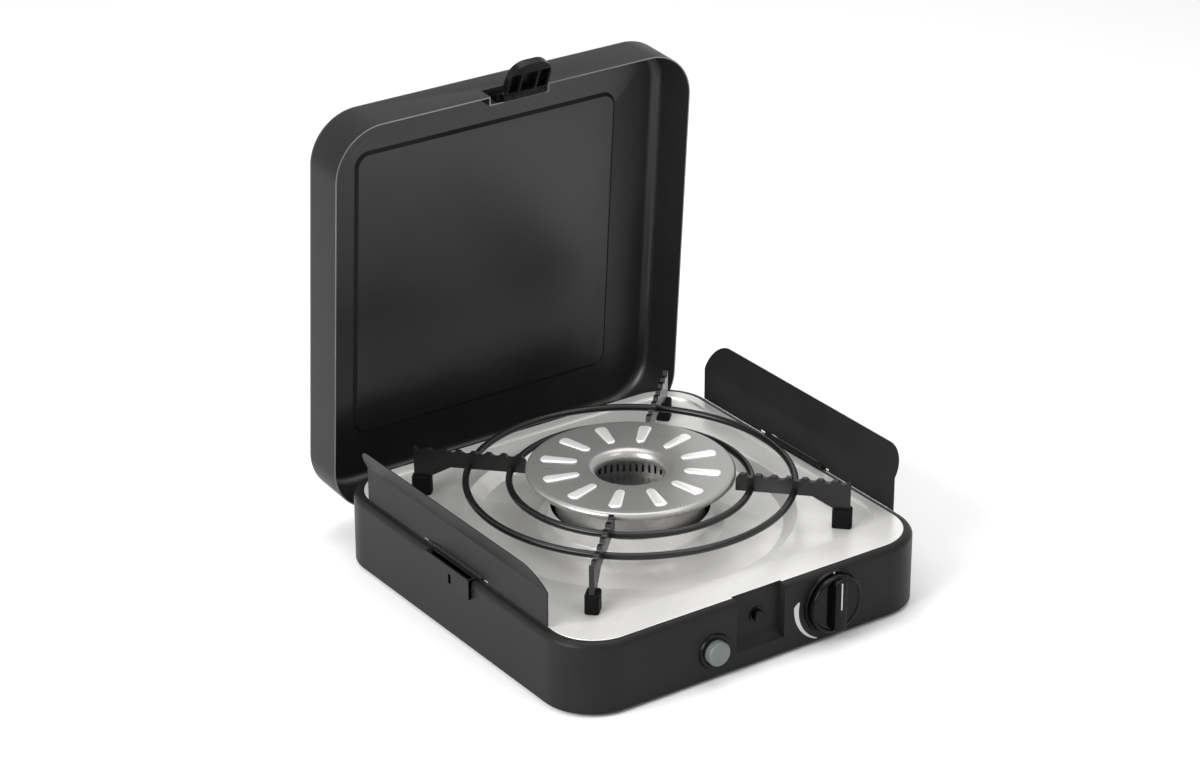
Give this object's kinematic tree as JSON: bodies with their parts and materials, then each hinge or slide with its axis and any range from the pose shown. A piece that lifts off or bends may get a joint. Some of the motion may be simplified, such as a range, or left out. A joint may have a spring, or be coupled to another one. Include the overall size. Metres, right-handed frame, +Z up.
{
  "type": "gas camping stove",
  "caption": "Square single-burner gas stove with hinged lid and latch, folding wind shields, lift-off pan support, push-turn knob and igniter button.",
  "frame": {"origin": "middle of the base cover's flat underside, below the burner's axis", "axes": "+X to the right seen from the knob side, +Y to the back where the lid is hinged, +Z up"},
  "size_m": [0.3298, 0.3562, 0.3515],
  "materials": {
    "black_enamel": "satin black paint on sheet steel",
    "stainless_sheet": "semi-bright stainless sheet",
    "burner_steel": "pressed stainless sheet",
    "support_enamel": "glossy black stove enamel on steel",
    "black_rubber": "matte black",
    "black_plastic": "matte black",
    "grey_plastic": "matte greenish grey",
    "zinc_steel": "zinc plated",
    "brass": "plain brass",
    "cast_aluminium": "cast",
    "copper_pipe": "drawn copper",
    "ceramic": "glazed ceramic",
    "lead_sheath": "heat-proof sleeve"
  },
  "bodies": {
    "stove": {"body_shell": "black_enamel", "base_cover": "black_enamel", "rubber_feet": "black_rubber", "base_screws": "zinc_steel", "hob_plate": "stainless_sheet", "catch_screw": "zinc_steel", "burner_bowl": "burner_steel", "burner_chimney": "burner_steel", "flame_ring": "burner_steel", "burner_cap": "burner_steel", "mixing_tube": "zinc_steel", "burner_strap": "zinc_steel", "injector_elbow": "brass", "injector": "brass", "gas_tap": "cast_aluminium", "tap_plate": "zinc_steel", "gas_pipe": "copper_pipe", "gas_inlet": "brass", "inlet_nut": "brass", "flame_sensor": "zinc_steel", "sensor_lead": "lead_sheath", "electrode_wire": "zinc_steel", "electrode_insulator": "ceramic", "ignition_lead": "lead_sheath", "igniter_housing": "black_plastic", "igniter_bezel": "black_plastic", "knob_bezel": "black_plastic", "hinge_bracket_left": "zinc_steel", "hinge_bracket_right": "zinc_steel", "hinge_pin_left": "zinc_steel", "hinge_pin_right": "zinc_steel", "shield_clip_left": "black_enamel", "shield_clip_right": "black_enamel", "shield_pin_left": "zinc_steel", "shield_pin_right": "zinc_steel"},
    "lid": {"lid_shell": "black_enamel", "hinge_arm_left": "zinc_steel", "hinge_arm_right": "zinc_steel", "lid_rivets": "zinc_steel", "latch_bracket": "black_plastic", "latch_pin": "zinc_steel"},
    "latch": {"latch_tab": "black_plastic"},
    "shield_left": {"wind_shield_left": "black_enamel"},
    "shield_right": {"wind_shield_right": "black_enamel"},
    "pan_support": {"support_ring_outer": "support_enamel", "support_ring_inner": "support_enamel", "support_arm_back_right": "support_enamel", "support_arm_back_left": "support_enamel", "support_arm_front_left": "support_enamel", "support_arm_front_right": "support_enamel", "boot_back_right": "black_rubber", "boot_back_left": "black_rubber", "boot_front_left": "black_rubber", "boot_front_right": "black_rubber"},
    "plunger": {"tap_plunger": "brass"},
    "knob": {"control_knob": "black_plastic", "tap_spindle": "zinc_steel"},
    "button": {"igniter_button": "grey_plastic"}
  },
  "joints": [
    {"name": "lid_hinge", "type": "hinge", "parent": "stove", "child": "lid", "pos_m": [0, 0.1356, 0.0359], "axis": [1, 0, 0], "range_deg": [0, 86.2]},
    {"name": "latch_hinge", "type": "hinge", "parent": "lid", "child": "latch", "pos_m": [0, 0.12881, 0.32078], "axis": [1, 0, 0], "range_deg": [0, 72]},
    {"name": "shield_left_fold", "type": "hinge", "parent": "stove", "child": "shield_left", "pos_m": [-0.1446, 0, 0.0552], "axis": [0, 1, 0], "range_deg": [0, 53.1]},
    {"name": "shield_right_fold", "type": "hinge", "parent": "stove", "child": "shield_right", "pos_m": [0.1446, 0, 0.0552], "axis": [0, -1, 0], "range_deg": [0, 53.1]},
    {"name": "pan_support_lift", "type": "slide", "parent": "stove", "child": "pan_support", "axis": [0, 0, 1], "range_m": [0, 0.002]},
    {"name": "tap_push", "type": "slide", "parent": "stove", "child": "plunger", "axis": [0, 1, 0], "range_m": [0, 0.003], "stiffness_N_per_m": 2000, "springref_m": -0.002},
    {"name": "tap_turn", "type": "hinge", "parent": "plunger", "child": "knob", "pos_m": [0.0598, -0.16, 0.0273], "axis": [0, -1, 0], "range_deg": [0, 180]},
    {"name": "igniter_push", "type": "slide", "parent": "stove", "child": "button", "axis": [0, 1, 0], "range_m": [0, 0.005], "stiffness_N_per_m": 1500, "springref_m": -0.002}
  ],
  "couplings": [
    {"joint": "shield_left_fold", "follows": "lid_hinge", "ratio": 0.61485},
    {"joint": "shield_right_fold", "follows": "lid_hinge", "ratio": 0.61485}
  ]
}
